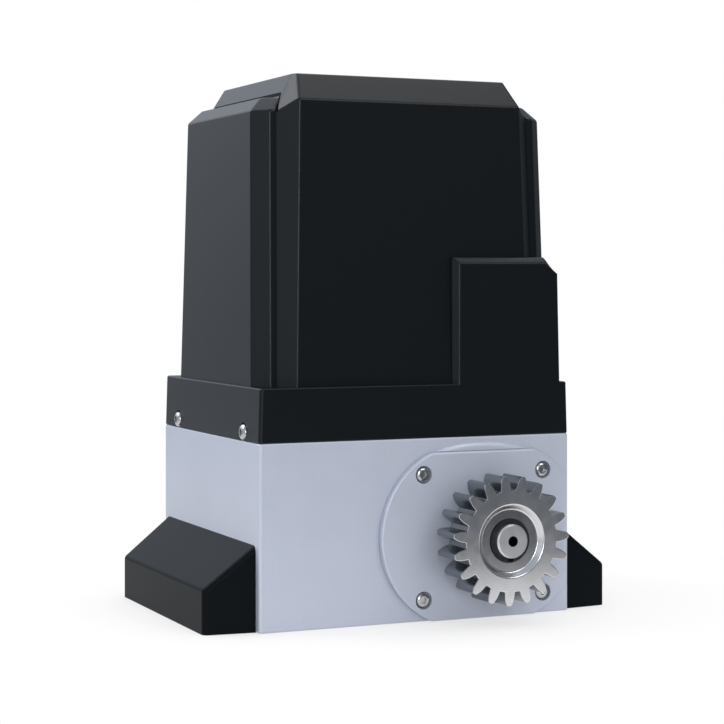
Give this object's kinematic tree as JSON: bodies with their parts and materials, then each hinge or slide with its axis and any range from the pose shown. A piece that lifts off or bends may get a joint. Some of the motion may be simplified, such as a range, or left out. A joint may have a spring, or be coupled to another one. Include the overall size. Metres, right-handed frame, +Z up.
{
  "type": "sliding gate motor",
  "caption": "Sliding gate motor: silver die-cast gearbox base with a black moulded hood, foot covers and a front rack pinion.",
  "frame": {"origin": "centre of the anchor pattern on the mounting plane under the base", "axes": "+X to the right seen from the pinion side, +Y to the rear (lever side), +Z up"},
  "size_m": [0.292, 0.233, 0.3585],
  "materials": {
    "cast_paint": "satin silver paint",
    "raw_aluminium": "as cast and machined",
    "gasket": "matte",
    "seal_rubber": "matte",
    "bright_steel": "zinc plated",
    "machined_steel": "turned",
    "gear_steel": "milled and zinc plated",
    "black_steel": "blackened",
    "bearing_steel": "ground",
    "spring_steel": "oiled",
    "hood_plastic": "satin moulded",
    "bronze": "cast and hobbed",
    "brass": "turned",
    "lamination": "stacked sheet",
    "copper": "enamelled wire",
    "zinc_sheet": "galvanised",
    "board_green": "solder resist",
    "terminal_plastic": "moulded",
    "relay_plastic": "moulded",
    "coil_tape": "polyester tape",
    "capacitor_can": "drawn"
  },
  "bodies": {
    "housing": {"base_casting": "cast_paint", "output_cover_plate": "cast_paint", "motor_flange": "raw_aluminium", "motor_end_bell": "raw_aluminium", "cover_plate_gasket": "gasket", "motor_flange_gasket": "gasket", "output_oil_seal": "seal_rubber", "cable_grommet": "seal_rubber", "cover_plate_screws": "bright_steel", "hood_screws": "bright_steel", "motor_flange_screws": "bright_steel", "motor_tie_bolts": "bright_steel", "hood": "hood_plastic", "left_foot_cover": "hood_plastic", "right_foot_cover": "hood_plastic", "release_pivot_pin": "machined_steel", "stator_core": "lamination", "stator_windings": "copper", "electronics_bracket": "zinc_sheet", "limit_sensor_bracket": "zinc_sheet", "board_standoffs": "brass", "control_board": "board_green", "limit_sensor_board": "board_green", "terminal_blocks": "terminal_plastic", "relays": "relay_plastic", "limit_sensor": "relay_plastic", "transformer_core": "lamination", "transformer_coil": "coil_tape", "run_capacitor": "capacitor_can", "capacitor_holder": "hood_plastic", "front_bearing_outer": "bearing_steel", "rear_bearing_outer": "bearing_steel", "worm_lower_bearing_outer": "bearing_steel", "worm_upper_bearing_outer": "bearing_steel", "motor_top_bearing_outer": "bearing_steel"},
    "motor_rotor": {"worm_shaft": "machined_steel", "rotor_core": "lamination", "worm_lower_bearing_inner": "bearing_steel", "worm_upper_bearing_inner": "bearing_steel", "motor_top_bearing_inner": "bearing_steel"},
    "output": {"output_shaft": "machined_steel", "pinion": "gear_steel", "pinion_key": "machined_steel", "pinion_retaining_ring": "black_steel", "front_bearing_inner": "bearing_steel", "rear_bearing_inner": "bearing_steel", "spring_seat": "machined_steel", "clutch_spring": "spring_steel"},
    "wheel": {"worm_wheel": "bronze", "wheel_bush": "bronze"},
    "clutch": {"clutch_ring": "machined_steel", "clutch_cross_pin": "machined_steel"},
    "rod": {"push_rod": "machined_steel"},
    "lever": {"release_lever": "hood_plastic"},
    "lock": {"lock_plug": "bright_steel"}
  },
  "joints": [
    {"name": "motor_spin", "type": "hinge", "parent": "housing", "child": "motor_rotor", "pos_m": [-0.0035, -0.0215, 0.15], "axis": [0, 0, 1], "continuous": true},
    {"name": "output_spin", "type": "hinge", "parent": "housing", "child": "output", "pos_m": [0.0455, 0, 0.0555], "axis": [0, -1, 0], "continuous": true},
    {"name": "wheel_spin", "type": "hinge", "parent": "housing", "child": "wheel", "pos_m": [0.0455, -0.0215, 0.0555], "axis": [0, -1, 0], "continuous": true},
    {"name": "release_lever_turn", "type": "hinge", "parent": "housing", "child": "lever", "pos_m": [0.042, 0.081, 0.0555], "axis": [0, 0, -1], "range_deg": [0, 90]},
    {"name": "push_rod_slide", "type": "slide", "parent": "housing", "child": "rod", "axis": [0, -1, 0], "range_m": [0, 0.006]},
    {"name": "clutch_slide", "type": "slide", "parent": "output", "child": "clutch", "axis": [0, -1, 0], "range_m": [0, 0.006], "deforming": ["clutch_spring"]},
    {"name": "lock_turn", "type": "hinge", "parent": "lever", "child": "lock", "pos_m": [-0.028, 0.09, 0.0555], "axis": [0, -1, 0], "range_deg": [0, 90]}
  ],
  "couplings": [
    {"joint": "output_spin", "follows": "motor_spin", "ratio": 0.035714},
    {"joint": "wheel_spin", "follows": "motor_spin", "ratio": 0.035714},
    {"joint": "push_rod_slide", "follows": "release_lever_turn", "m_per_rad": 0.0038193},
    {"joint": "clutch_slide", "follows": "release_lever_turn", "m_per_rad": 0.0038193}
  ]
}
